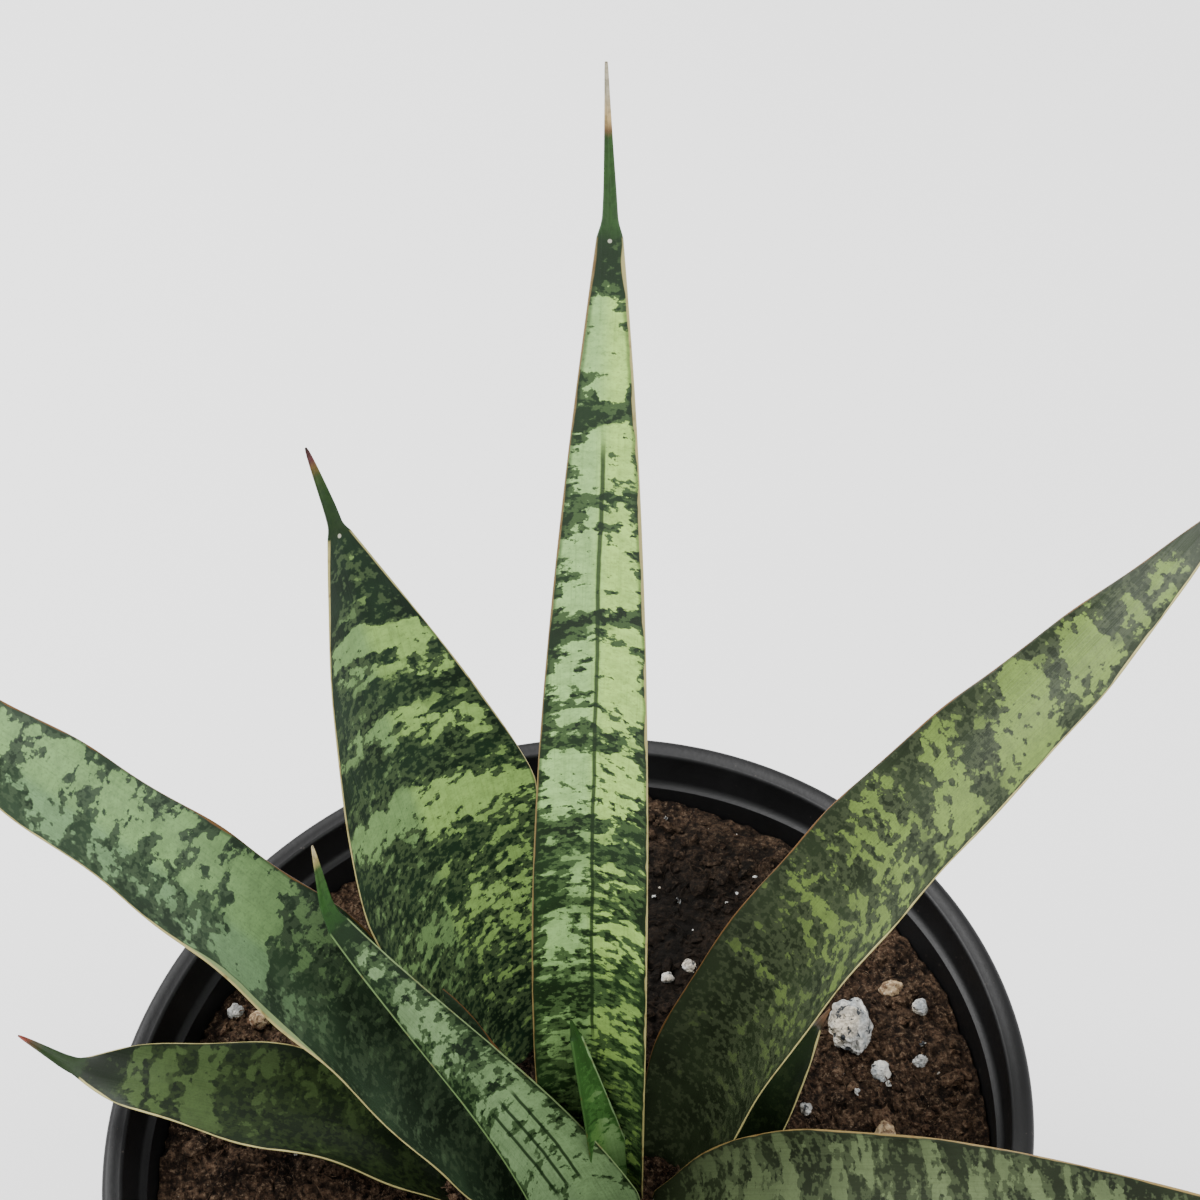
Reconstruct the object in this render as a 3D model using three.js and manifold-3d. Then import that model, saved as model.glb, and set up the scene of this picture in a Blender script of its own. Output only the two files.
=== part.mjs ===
// Potted snake plant: nursery pot, potting soil, rhizome with roots, nine leaves and loose grains.
// Millimetres, +Z up. The origin is the centre of the pot's flat underside.
// +X is to the right and -Y is towards the viewer. Compass angles turn from +X towards +Y.

import * as THREE from "three";
import { mergeVertices } from "three/addons/utils/BufferGeometryUtils.js";
import Module from "manifold-3d";

const wasm = await Module();
wasm.setup();

// ---------------------------------------------------------------- driving dimensions (mm)
const POT_HEIGHT = 140;
const RIM_RADIUS = 82.5;
const FOOT_RADIUS = 57;
const WALL = 1.4;
const FLOOR = 2;
const LIP_HEIGHT = 9;
const LIP_INNER_RADIUS = 78.6;
const STEP_DEPTH = 8;
const STEP_RADIUS = 76.8;
const DRAIN_HOLES = 6;
const DRAIN_RADIUS = 4.5;
const DRAIN_RING_RADIUS = 44;
const SOIL_LEVEL = 126;
const CROWN_LEVEL = 120;
const GAP = 0.3;
const RHIZOME_CENTRE = [0, -3, 99];
const RHIZOME_HALF_SIZE = [27, 19, 9];
const ROOT_COUNT = 6;
const ROOT_RADIUS = 1.1;
const LEAF_THICKNESS = 2.2;
const EDGE_THICKNESS = 0.9;
const BURIED_LENGTH = 18;
const AWN_END_HALF_WIDTH = 0.2;

const radians = THREE.MathUtils.degToRad;

// ---------------------------------------------------------------- leaves
// at: place of the leaf's spine on the crown plane. lean: degrees from vertical at its foot, middle
// and tip. compass: direction of that lean, likewise. turn: rotation of the face about the spine, at
// foot and tip. fold: half angle of the channel, at foot and tip. footWidth: share of the full width.
// widestAt: share of the length. taper: how late the blade narrows. tipWidth: where the blade meets
// its awn. awn: the rolled tip's length and width, and the lean and compass it points along.
const LEAVES = [
  {
    name: "leaf_young_folded", at: [1.5, -12.5], lean: [12, 26, 30], compass: [145, 152, 141],
    turn: [-34, -20], length: 84.5, width: 21, footWidth: 0.95, widestAt: 0.05, taper: 0.95,
    fold: [51, 58], tipWidth: 4.4,
    awn: { length: 15, width: 3.4, lean: 24, compass: 88 }, color: 0x8fb98a,
  },
  {
    name: "leaf_tall_centre", at: [4.2, -3.6], lean: [5, 8, 11], compass: [-10, -33, -55],
    turn: [81, 137], length: 227, width: 20.4, footWidth: 1, widestAt: 0.1, taper: 1.9,
    fold: [49, 28], tipWidth: 2.8,
    awn: { length: 20, width: 1.8, lean: 8, compass: 45 }, color: 0x7fab84,
  },
  {
    name: "leaf_inner_spear", at: [6.9, -7.4], lean: [1, 1, 1], compass: [200, 200, 200],
    turn: [-90, -90], length: 53, width: 9, footWidth: 0.9, widestAt: 0.1, taper: 1.1,
    fold: [42, 60], tipWidth: 2.3,
    awn: { length: 5, width: 1.6, lean: 2, compass: 200 }, color: 0x55a045,
  },
  {
    name: "leaf_long_right", at: [19.1, -5.5], lean: [28, 45, 60], compass: [30, 15, 29],
    turn: [3, -1], length: 156, width: 29, footWidth: 0.6, widestAt: 0.17, taper: 2.5,
    fold: [61, 29], tipWidth: 2.3,
    awn: { length: 12, width: 1.8, lean: 58, compass: 30 }, color: 0x5f8a52,
  },
  {
    name: "leaf_long_left", at: [-9.2, -6.4], lean: [25, 41, 55], compass: [149, 157, 160],
    turn: [-1, 7], length: 225, width: 30.4, footWidth: 0.65, widestAt: 0.16, taper: 1.2,
    fold: [57, 33], tipWidth: 2.3,
    awn: { length: 14, width: 1.8, lean: 52, compass: 158 }, color: 0x6a9a7c,
  },
  {
    name: "leaf_lower_right", at: [12.7, -15.5], lean: [45, 60, 70], compass: [-37, -28, -16],
    turn: [-5, 36], length: 116, width: 30, footWidth: 0.4, widestAt: 0.3, taper: 2.2,
    fold: [79, 25], tipWidth: 2.3,
    awn: { length: 12, width: 1.8, lean: 64, compass: -14 }, color: 0x4c7a48,
  },
  {
    name: "leaf_broad_rear_left", at: [-10, 15], lean: [8, 9, 10], compass: [121, 104, 92],
    turn: [30, 29], length: 135, width: 41.3, footWidth: 0.3, widestAt: 0.53, taper: 1.25,
    fold: [42, 42], tipWidth: 4.4,
    awn: { length: 17, width: 2.6, lean: 6, compass: 139 }, color: 0x5c8a4a,
  },
  {
    name: "leaf_low_left", at: [-21.6, -4.5], lean: [45, 65, 80], compass: [146, 165, 160],
    turn: [19, 0], length: 73, width: 23.7, footWidth: 0.6, widestAt: 0.26, taper: 2.4,
    fold: [68, 23], tipWidth: 4.6,
    awn: { length: 14, width: 3.6, lean: 78, compass: 144 }, color: 0x456f3a,
  },
  {
    name: "leaf_small_dark_right", at: [25, -9], lean: [35, 55, 60], compass: [35, 34, 32],
    turn: [10, 10], length: 34, width: 17, footWidth: 0.45, widestAt: 0.3, taper: 1.6,
    fold: [60, 35], tipWidth: 2.3,
    awn: { length: 4, width: 1.6, lean: 58, compass: 32 }, color: 0x2f5238,
  },
];

// ---------------------------------------------------------------- loose grains on the soil
// at: place over the soil. size: longest half size. flat: the other two half sizes, as shares.
// turn: compass direction of the longest axis, in degrees, where it matters.
const PERLITE = [
  { name: "perlite_grain_large", at: [54.5, 12], size: 5.6, flat: [0.78, 0.75], turn: 95 },
  { name: "perlite_grain_right", at: [58, 2.6], size: 2.1, flat: [0.9, 0.7] },
  { name: "perlite_grain_far_right", at: [68, 14.5], size: 1.7, flat: [0.9, 0.8] },
  { name: "perlite_grain_rim_right", at: [65.5, 3.4], size: 1.5, flat: [0.8, 0.8] },
  { name: "perlite_grain_near_crown", at: [43.2, -2], size: 1.4, flat: [0.8, 0.7] },
  { name: "perlite_grain_rear_pair_a", at: [27, 32], size: 1.5, flat: [0.9, 0.8] },
  { name: "perlite_grain_rear_pair_b", at: [22.5, 30], size: 1.3, flat: [0.8, 0.8] },
  { name: "perlite_grain_left", at: [-60.5, 38], size: 1.9, flat: [0.8, 0.8] },
];

const BARK = [
  { name: "bark_chip_tan", at: [63.5, 19.5], size: 2.4, flat: [0.7, 0.6] },
  { name: "bark_chip_left", at: [-56, 35.5], size: 2.3, flat: [0.8, 0.7] },
  { name: "bark_chip_front_right", at: [56, -10.5], size: 3.6, flat: [0.6, 0.5] },
];

// ---------------------------------------------------------------- materials
function finish(color, roughness) {
  return new THREE.MeshStandardMaterial({ color, roughness, metalness: 0 });
}

const POT_PLASTIC = finish(0x26282a, 0.38);
const SOIL = finish(0x4a3426, 0.95);
const RHIZOME = finish(0xb98a4e, 0.7);
const PERLITE_WHITE = finish(0xd6d5ce, 0.9);
const BARK_BROWN = finish(0xa07a50, 0.85);

// ---------------------------------------------------------------- manifold helpers
function solidOf(geometry) {
  const bare = geometry.clone();
  bare.deleteAttribute("normal");
  bare.deleteAttribute("uv");
  const merged = mergeVertices(bare, 1e-4);
  return new wasm.Manifold(new wasm.Mesh({
    numProp: 3,
    vertProperties: new Float32Array(merged.attributes.position.array),
    triVerts: new Uint32Array(merged.index.array),
  }));
}

function geometryOf(solid) {
  const mesh = solid.getMesh();
  const geometry = new THREE.BufferGeometry();
  const places = new Float32Array(mesh.numVert * 3);
  for (let i = 0; i < mesh.numVert; i += 1) {
    for (let k = 0; k < 3; k += 1) {
      places[3 * i + k] = mesh.vertProperties[mesh.numProp * i + k];
    }
  }
  geometry.setAttribute("position", new THREE.BufferAttribute(places, 3));
  geometry.setIndex(new THREE.BufferAttribute(new Uint32Array(mesh.triVerts), 1));
  geometry.computeVertexNormals();
  return geometry;
}

function largestBody(solid) {
  const bodies = solid.decompose();
  bodies.sort((a, b) => b.volume() - a.volume());
  return bodies[0];
}

// ---------------------------------------------------------------- small maths
function throughThree(share, [foot, middle, tip]) {
  const atFoot = foot * (1 - share) * (1 - 2 * share);
  const atMiddle = middle * 4 * share * (1 - share);
  const atTip = tip * share * (2 * share - 1);
  return atFoot + atMiddle + atTip;
}

function between(share, [start, end]) {
  return start + (end - start) * share;
}

function ripple(x, y, seed) {
  const broad = Math.sin(0.13 * x + seed) * Math.cos(0.11 * y - 1.7 * seed);
  const middle = Math.sin(0.31 * x - 0.19 * y + 2.3 * seed);
  const fine = Math.cos(0.47 * y + 0.23 * x + seed);
  return 0.5 * broad + 0.3 * middle + 0.2 * fine;
}

// ---------------------------------------------------------------- leaf
function heading(lean, compass) {
  const across = Math.sin(radians(lean));
  const around = radians(compass);
  return new THREE.Vector3(across * Math.cos(around), across * Math.sin(around), Math.cos(radians(lean)));
}

function leafDirection(leaf, share) {
  return heading(throughThree(share, leaf.lean), throughThree(share, leaf.compass));
}

function leafFrame(leaf, share) {
  const along = leafDirection(leaf, share);
  const compass = radians(throughThree(share, leaf.compass));
  const level = new THREE.Vector3(-Math.sin(compass), Math.cos(compass), 0);
  const inward = new THREE.Vector3().crossVectors(along, level);
  const turn = radians(between(share, leaf.turn));
  const side = level.clone().multiplyScalar(Math.cos(turn)).addScaledVector(inward, Math.sin(turn));
  const face = inward.clone().multiplyScalar(Math.cos(turn)).addScaledVector(level, -Math.sin(turn));
  return { side, face };
}

function leafHalfWidth(leaf, share) {
  let shape = 1;
  if (share < leaf.widestAt) {
    shape = between(Math.sin((Math.PI / 2) * (share / leaf.widestAt)), [leaf.footWidth, 1]);
  } else {
    shape = 1 - ((share - leaf.widestAt) / (1 - leaf.widestAt)) ** leaf.taper;
  }
  return (leaf.width / 2) * shape + (leaf.tipWidth / 2) * share;
}

// Stations run from below the soil (negative share) over the blade to the end of the awn (over 1).
function leafStations(leaf) {
  const steps = 14;
  const point = new THREE.Vector3(leaf.at[0], leaf.at[1], CROWN_LEVEL);
  const foot = leafFrame(leaf, 0);
  const down = leafDirection(leaf, 0).multiplyScalar(0.3).add(new THREE.Vector3(0, 0, 0.7));
  const stations = [];
  for (const depth of [BURIED_LENGTH, BURIED_LENGTH / 2]) {
    const half = leafHalfWidth(leaf, 0) * (1 - 0.012 * depth);
    const place = point.clone().addScaledVector(down, -depth);
    stations.push({ place, ...foot, half, fold: leaf.fold[0], thick: LEAF_THICKNESS });
  }
  for (let i = 0; i <= steps; i += 1) {
    const share = i / steps;
    const half = leafHalfWidth(leaf, share);
    const thick = between(share ** 2, [LEAF_THICKNESS, 1.5]);
    const place = point.clone();
    stations.push({ place, ...leafFrame(leaf, share), half, fold: between(share, leaf.fold), thick });
    point.addScaledVector(leafDirection(leaf, share + 0.5 / steps), leaf.length / steps);
  }
  const tip = stations[stations.length - 1];
  const along = heading(leaf.awn.lean, leaf.awn.compass);
  for (const share of [0.2, 0.65, 1]) {
    const place = tip.place.clone().addScaledVector(along, share * leaf.awn.length);
    const half = between(share, [leaf.awn.width / 2, AWN_END_HALF_WIDTH]);
    stations.push({ ...tip, place, half, fold: 60, thick: between(share, [1.3, 0.5]) });
  }
  return stations;
}

// One closed ring of the channel-shaped section: upper face one way, lower face back.
function leafRing(station, grow) {
  const across = 6;
  const fold = Math.max(radians(station.fold), 0.02);
  const half = station.half + grow;
  const upper = [];
  const lower = [];
  for (let i = 0; i <= across; i += 1) {
    const v = (2 * i) / across - 1;
    const angle = fold * v;
    const sideways = (half * Math.sin(angle)) / fold;
    const raised = (half * (1 - Math.cos(angle))) / fold;
    const middle = station.place.clone()
      .addScaledVector(station.side, sideways)
      .addScaledVector(station.face, raised);
    const normal = station.face.clone().multiplyScalar(Math.cos(angle))
      .addScaledVector(station.side, -Math.sin(angle));
    const edge = Math.min(EDGE_THICKNESS, station.thick);
    const thick = between(1 - v * v, [edge, station.thick]) / 2 + grow;
    upper.push(middle.clone().addScaledVector(normal, thick));
    lower.push(middle.clone().addScaledVector(normal, -thick));
  }
  return [...upper, ...lower.reverse()];
}

function loft(rings) {
  const places = [];
  const faces = [];
  const count = rings[0].length;
  for (const ring of rings) {
    for (const point of ring) {
      places.push(point.x, point.y, point.z);
    }
  }
  for (let r = 0; r + 1 < rings.length; r += 1) {
    for (let i = 0; i < count; i += 1) {
      const a = r * count + i;
      const b = r * count + ((i + 1) % count);
      faces.push(a, b + count, b, a, a + count, b + count);
    }
  }
  const last = (rings.length - 1) * count;
  for (let i = 0; i + 1 < count / 2; i += 1) {
    const across = count - 1 - i;
    faces.push(i, across - 1, across, i, i + 1, across - 1);
    faces.push(last + i, last + across, last + across - 1, last + i, last + across - 1, last + i + 1);
  }
  const geometry = new THREE.BufferGeometry();
  geometry.setAttribute("position", new THREE.Float32BufferAttribute(places, 3));
  geometry.setIndex(faces);
  return geometry;
}

function leafSolid(leaf) {
  return solidOf(loft(leafStations(leaf).map((station) => leafRing(station, 0))));
}

// The leaf grown by the gap, to cut room for it in the soil and in the leaves around it.
function leafRoom(leaf) {
  const stations = leafStations(leaf);
  const first = { ...stations[0], place: stations[0].place.clone() };
  first.place.z -= GAP;
  return solidOf(loft([first, ...stations.slice(1)].map((station) => leafRing(station, GAP))));
}

// ---------------------------------------------------------------- pot
function potShell() {
  const lipBottom = POT_HEIGHT - LIP_HEIGHT;
  const wallTop = RIM_RADIUS - 4.2;
  const stepZ = POT_HEIGHT - STEP_DEPTH;
  const profile = [
    [0, 0],
    [FOOT_RADIUS - 1, 0],
    [FOOT_RADIUS, 1],
    [wallTop, lipBottom],
    [RIM_RADIUS - 0.9, lipBottom],
    [RIM_RADIUS, lipBottom + 0.8],
    [RIM_RADIUS, POT_HEIGHT - 1],
    [RIM_RADIUS - 0.8, POT_HEIGHT],
    [RIM_RADIUS - 2.2, POT_HEIGHT - 0.1],
    [LIP_INNER_RADIUS, POT_HEIGHT - 1],
    [STEP_RADIUS + 0.7, stepZ],
    [STEP_RADIUS - 0.6, stepZ - 0.4],
    [FOOT_RADIUS - WALL, FLOOR],
    [0, FLOOR],
  ].map(([r, z]) => new THREE.Vector2(r, z));
  return solidOf(new THREE.LatheGeometry(profile, 48).rotateX(Math.PI / 2));
}

function buildPot() {
  let pot = potShell();
  for (let i = 0; i < DRAIN_HOLES; i += 1) {
    const angle = (2 * Math.PI * i) / DRAIN_HOLES;
    const hole = new THREE.CylinderGeometry(DRAIN_RADIUS, DRAIN_RADIUS, 3 * FLOOR, 12)
      .rotateX(Math.PI / 2)
      .translate(DRAIN_RING_RADIUS * Math.cos(angle), DRAIN_RING_RADIUS * Math.sin(angle), FLOOR);
    pot = pot.subtract(solidOf(hole));
  }
  return pot;
}

// ---------------------------------------------------------------- soil
function potInnerRadius(z) {
  const top = POT_HEIGHT - STEP_DEPTH - 0.4;
  return between((z - FLOOR) / (top - FLOOR), [FOOT_RADIUS - WALL, STEP_RADIUS - 0.6]);
}

function soilHeight(x, y) {
  const rearHeap = 4 * Math.exp(-(((x - 22) / 22) ** 2) - ((y - 66) / 14) ** 2);
  const leftHeap = 2.5 * Math.exp(-(((x + 66) / 18) ** 2) - ((y - 12) / 30) ** 2);
  const crownDip = 6.5 * Math.exp(-(((x - 3) / 27) ** 4) - ((y + 10) / 24) ** 4);
  return SOIL_LEVEL + rearHeap + leftHeap - crownDip + 0.9 * ripple(x, y, 0.6);
}

function buildSoilBlock() {
  const around = 40;
  const rings = 7;
  const places = [];
  const faces = [];
  const add = (x, y, z) => places.push(x, y, z) / 3 - 1;
  const topCentre = add(0, 0, soilHeight(0, 0));
  const bottomCentre = add(0, 0, FLOOR + GAP);
  for (let r = 1; r <= rings + 1; r += 1) {
    for (let i = 0; i < around; i += 1) {
      const angle = (2 * Math.PI * i) / around;
      const underside = r > rings;
      const edge = potInnerRadius(SOIL_LEVEL) - GAP - 0.2;
      let radius = (edge * r) / rings;
      let z = soilHeight(radius * Math.cos(angle), radius * Math.sin(angle));
      if (r === rings) {
        z = soilHeight(radius * Math.cos(angle), radius * Math.sin(angle)) - 0.6;
        radius = potInnerRadius(z) - GAP - 0.2;
      }
      if (underside) {
        z = FLOOR + GAP;
        radius = potInnerRadius(z) - GAP - 0.2;
      }
      add(radius * Math.cos(angle), radius * Math.sin(angle), z);
    }
  }
  const vertex = (r, i) => 2 + (r - 1) * around + (i % around);
  for (let i = 0; i < around; i += 1) {
    faces.push(topCentre, vertex(1, i), vertex(1, i + 1));
    faces.push(bottomCentre, vertex(rings + 1, i + 1), vertex(rings + 1, i));
    for (let r = 1; r <= rings; r += 1) {
      faces.push(vertex(r, i), vertex(r + 1, i), vertex(r + 1, i + 1));
      faces.push(vertex(r, i), vertex(r + 1, i + 1), vertex(r, i + 1));
    }
  }
  const geometry = new THREE.BufferGeometry();
  geometry.setAttribute("position", new THREE.Float32BufferAttribute(places, 3));
  geometry.setIndex(faces);
  return solidOf(geometry);
}

// ---------------------------------------------------------------- rhizome and roots
function rhizomeBody(grow) {
  const [a, b, c] = RHIZOME_HALF_SIZE.map((half) => half + grow);
  const geometry = new THREE.SphereGeometry(1, 18, 10).rotateX(Math.PI / 2);
  const place = geometry.attributes.position;
  for (let i = 0; i < place.count; i += 1) {
    const x = place.getX(i);
    const y = place.getY(i);
    const z = place.getZ(i);
    const knobs = 1 + 0.05 * Math.cos(9 * x);
    place.setXYZ(
      i,
      RHIZOME_CENTRE[0] + a * x,
      RHIZOME_CENTRE[1] + b * y * knobs,
      RHIZOME_CENTRE[2] + c * z * knobs,
    );
  }
  return solidOf(geometry);
}

function rootTube(index, grow) {
  const angle = (2 * Math.PI * (index + 0.3)) / ROOT_COUNT;
  const reach = index % 2 ? 46 : 38;
  const depth = index % 2 ? 26 : 40;
  const x = Math.cos(angle);
  const y = Math.sin(angle);
  const [cx, cy, cz] = RHIZOME_CENTRE;
  const path = new THREE.CatmullRomCurve3([
    new THREE.Vector3(cx + 8 * x, cy + 8 * y, cz - 2),
    new THREE.Vector3(cx + 0.6 * reach * x, cy + 0.6 * reach * y, cz - 0.3 * depth),
    new THREE.Vector3(cx + reach * x, cy + reach * y, cz - depth),
    new THREE.Vector3(cx + reach * x, cy + reach * y, cz - depth - 14),
  ]);
  const end = grow > 0 ? 1 : 0.985;
  const stops = [0, 0.25, 0.5, 0.75, 1].map((share) => path.getPoint(share * end));
  const outline = new THREE.Shape();
  outline.absarc(0, 0, ROOT_RADIUS + grow, 0, 2 * Math.PI, false);
  const sweep = { steps: 6, curveSegments: 3, bevelEnabled: false };
  sweep.extrudePath = new THREE.CatmullRomCurve3(stops);
  return solidOf(new THREE.ExtrudeGeometry(outline, sweep));
}

function rhizomeWithRoots(grow) {
  let solid = rhizomeBody(grow);
  for (let i = 0; i < ROOT_COUNT; i += 1) {
    solid = solid.add(rootTube(i, grow));
  }
  return solid;
}

// ---------------------------------------------------------------- grains
function grainSolid(grain, grow) {
  const geometry = new THREE.IcosahedronGeometry(1, 1);
  const place = geometry.attributes.position;
  const [x0, y0] = grain.at;
  const halves = [grain.size, grain.size * grain.flat[0], grain.size * grain.flat[1]];
  const z0 = soilHeight(x0, y0) + 0.45 * halves[2];
  const turn = grain.turn ? radians(grain.turn) : 0.7 * x0 + 0.3 * y0;
  for (let i = 0; i < place.count; i += 1) {
    const x = place.getX(i);
    const y = place.getY(i);
    const z = place.getZ(i);
    const lump = 1 + 0.1 * Math.sin(3 * x + turn) * Math.cos(2.4 * y - turn);
    const px = (halves[0] * lump + grow) * x;
    const py = (halves[1] * lump + grow) * y;
    place.setXYZ(
      i,
      x0 + px * Math.cos(turn) - py * Math.sin(turn),
      y0 + px * Math.sin(turn) + py * Math.cos(turn),
      z0 + (halves[2] * lump + grow) * z,
    );
  }
  return solidOf(geometry);
}

// ---------------------------------------------------------------- assembly
const group = new THREE.Group();
group.name = "potted_snake_plant";

function addNode(name, solid, material) {
  const mesh = new THREE.Mesh(geometryOf(solid), material);
  mesh.name = name;
  group.add(mesh);
}

addNode("nursery_pot", buildPot(), POT_PLASTIC);

let soil = buildSoilBlock().subtract(rhizomeWithRoots(GAP));
addNode("rhizome_with_roots", rhizomeWithRoots(0), RHIZOME);

// Each leaf gives way to the rhizome and to the leaves listed before it.
let taken = rhizomeBody(GAP);
for (const leaf of LEAVES) {
  const solid = largestBody(leafSolid(leaf).subtract(taken));
  addNode(leaf.name, solid, finish(leaf.color, 0.42));
  const room = leafRoom(leaf);
  taken = taken.add(room);
  soil = soil.subtract(room);
}

for (const grain of PERLITE) {
  addNode(grain.name, grainSolid(grain, 0), PERLITE_WHITE);
  soil = soil.subtract(grainSolid(grain, GAP));
}

for (const chip of BARK) {
  addNode(chip.name, grainSolid(chip, 0), BARK_BROWN);
  soil = soil.subtract(grainSolid(chip, GAP));
}

addNode("potting_soil", largestBody(soil), SOIL);

export default group;
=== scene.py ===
"""Looks for a potted snake plant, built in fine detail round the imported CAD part."""

import math
import random
from collections import namedtuple

import bmesh
import bpy
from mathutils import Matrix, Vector, noise


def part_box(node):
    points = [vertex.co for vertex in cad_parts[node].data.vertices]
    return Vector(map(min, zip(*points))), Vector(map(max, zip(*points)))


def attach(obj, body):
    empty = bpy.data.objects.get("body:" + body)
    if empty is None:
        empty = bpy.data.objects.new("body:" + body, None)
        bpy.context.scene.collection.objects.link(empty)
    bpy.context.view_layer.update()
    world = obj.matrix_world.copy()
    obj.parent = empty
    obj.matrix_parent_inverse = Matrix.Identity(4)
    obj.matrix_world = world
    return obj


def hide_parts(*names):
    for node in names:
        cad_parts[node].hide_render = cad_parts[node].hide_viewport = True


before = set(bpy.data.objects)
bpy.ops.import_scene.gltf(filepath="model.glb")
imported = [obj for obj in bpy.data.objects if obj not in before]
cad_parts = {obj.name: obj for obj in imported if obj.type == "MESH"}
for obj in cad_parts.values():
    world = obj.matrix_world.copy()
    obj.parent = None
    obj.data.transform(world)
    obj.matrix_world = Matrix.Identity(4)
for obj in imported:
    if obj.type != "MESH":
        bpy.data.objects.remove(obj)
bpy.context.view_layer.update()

MM = 0.001

# ---------------- driving dimensions (mm)
POT_HEIGHT = 140
RIM_RADIUS = 82.5
FOOT_RADIUS = 57
WALL = 1.4
FLOOR = 2
LIP_HEIGHT = 9
LIP_OVERHANG = 4.2
LIP_INNER_RADIUS = 78.6
STEP_DEPTH = 8
STEP_RADIUS = 76.8
DRAIN_HOLES = 6
DRAIN_RADIUS = 4.5
DRAIN_RING_RADIUS = 44
SOIL_LEVEL = 126
CROWN_LEVEL = 120
LEAF_THICKNESS = 2.2
TIP_THICKNESS = 1.5
EDGE_THICKNESS = 0.4
BURIED_LENGTH = 14
AWN_END_HALF_WIDTH = 0.06
AWN_END_THICKNESS = 0.25
GROOVE_DEPTH = 0.16
GROOVE_WIDTH = 0.8
FLUTTER_LENGTH = 4.2
WOBBLE_HEIGHT = 0.35
WOBBLE_LENGTH = 22

# ---------------- fineness of the meshes
BURIED_STEPS = 8
BLADE_STEPS = 150
AWN_STEPS = 24
ACROSS_STEPS = 26
POT_STEPS_AROUND = 240
POT_STEPS_UP = 24
SOIL_STEPS_AROUND = 520
SOIL_RINGS = 190
STRAND_SIDES = 5
STRAND_STEPS = 9

# ---------------- relief of the soil (mm)
# A mound is a smooth heap, or a dip where its height is negative: at is its middle, reach is how
# far it goes in x and y, and a higher power makes it flatter on top with steeper sides.
REAR_HEAP = dict(height=4, at=(22, 66), reach=(22, 14), power=2)
LEFT_HEAP = dict(height=2.5, at=(-66, 12), reach=(18, 30), power=2)
CROWN_DIP = dict(height=-6.5, at=(3, -10), reach=(27, 24), power=4)
RIPPLE_HEIGHT = 0.9
LUMP_SIZE = 4.5
CRACK_SIZE = 2.0
CRACK_DEPTH = 1.2
CLUMP_LIFT = 0.25
# Painted shade on the soil behind the crown, where the leaves and the pot wall shade it: its height is
# the strength of the shade colour.
REAR_SHADE_PATCH = dict(height=1, at=(18, 38), reach=(32, 28), power=4)

# ---------------- colours (linear)
CREAM = (0.36, 0.32, 0.13)
GOLD = (0.20, 0.14, 0.05)
RUST = (0.13, 0.065, 0.022)
SCAR = (0.5, 0.5, 0.4)
PLASTIC = dict(dark=(0.0025, 0.0025, 0.0028), smeared=(0.006, 0.006, 0.0065), dust=(0.12, 0.1, 0.085))
# Three of the peat colours are painted shade: near-black between the grains, in the cracks and behind
# the crown.
PEAT = dict(
    dark=(0.008, 0.0052, 0.0035), light=(0.1, 0.062, 0.038), rusty=(0.115, 0.062, 0.036),
    dry=(0.24, 0.165, 0.105), gap=(0.004, 0.003, 0.0025), fleck=(0.38, 0.31, 0.22),
    crack_shade=(0.0035, 0.0025, 0.002), rear_shade=(0.0055, 0.0048, 0.0038),
)
PERLITE = dict(
    shaded=(0.26, 0.28, 0.29), white=(0.6, 0.58, 0.53), warm=(0.62, 0.52, 0.37),
    stain=(0.1, 0.105, 0.11), hole=(0.035, 0.038, 0.042),
)
BARK = dict(dark=(0.1, 0.055, 0.03), light=(0.42, 0.31, 0.18), worn=(0.6, 0.52, 0.38))
RHIZOME = dict(ring=(0.4, 0.15, 0.04), flesh=(0.6, 0.36, 0.13), dirt=(0.12, 0.06, 0.03))
STUDIO = dict(floor=(0.9, 0.9, 0.9), cloud=(0.94, 0.94, 0.94), air=(1, 1, 1, 1))

# ---------------- camera and light (m, degrees, W)
CAMERA_PLACE = (0.022, -0.200, 0.485)
CAMERA_TILT = 42.6
CAMERA_ROLL = -9.7
LENS = 66
SENSOR_WIDTH = 36
LIGHT_TARGET = (0, 0, 0.15)
AIR_STRENGTH = 1.15
FLOOR_SIZE = 6
FLOOR_DROP = 0.0005

# ---------------- leaves
# Lengths are in mm and angles in degrees: lean from upright, compass from +X towards +Y. Left and
# right are those of a leaf's upper face with its tip up. A share is a place along the leaf, from 0
# at the crown to 1 where the blade meets the awn, its rolled tip.
#
# at: the spine's place on the crown plane. lean, compass: its direction at foot, middle and tip.
# turn: the face's rotation about it at foot and tip. foot_width: as a share of the width.
# widest_at: the share where the blade is widest. taper: how late it narrows from there. fold: half
# angle of the channel at foot and tip. tip_width: the blade's width at the awn. awn: its shape is
# how early it thins. wave: swing of the margins.
#
# bands: (share, lightness) stops of the cross bands. slant: how much a band climbs across the leaf.
# bias: extra lightness at the left margin. stripe, speckle: strength of the lengthwise streaks and
# of the small spots. foot_shade: how far the pale green dulls towards the foot, partly its own
# duller green and partly painted shade where the leaves crowd one another. rims: width of the darker
# zone inside the left and right margins. strips: width of the pale outer face that shows at each
# margin. curl: the shares between which the left margin turns over, and the width that shows.
# veins: places across of dark lengthwise lines, and the shares where they start and end. dot:
# radius of the pale scar at the awn. light: the pale green left and right of the spine. mid, dark:
# the ground's two greens. margins: colours of the two edges. tips: the awn's colours, foot to end.
PLAIN_LEAF = dict(
    wave=0, bias=0.0, stripe=0.7, speckle=0.6, foot_shade=0.6, curl=None, veins=None, dot=0,
)
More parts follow.
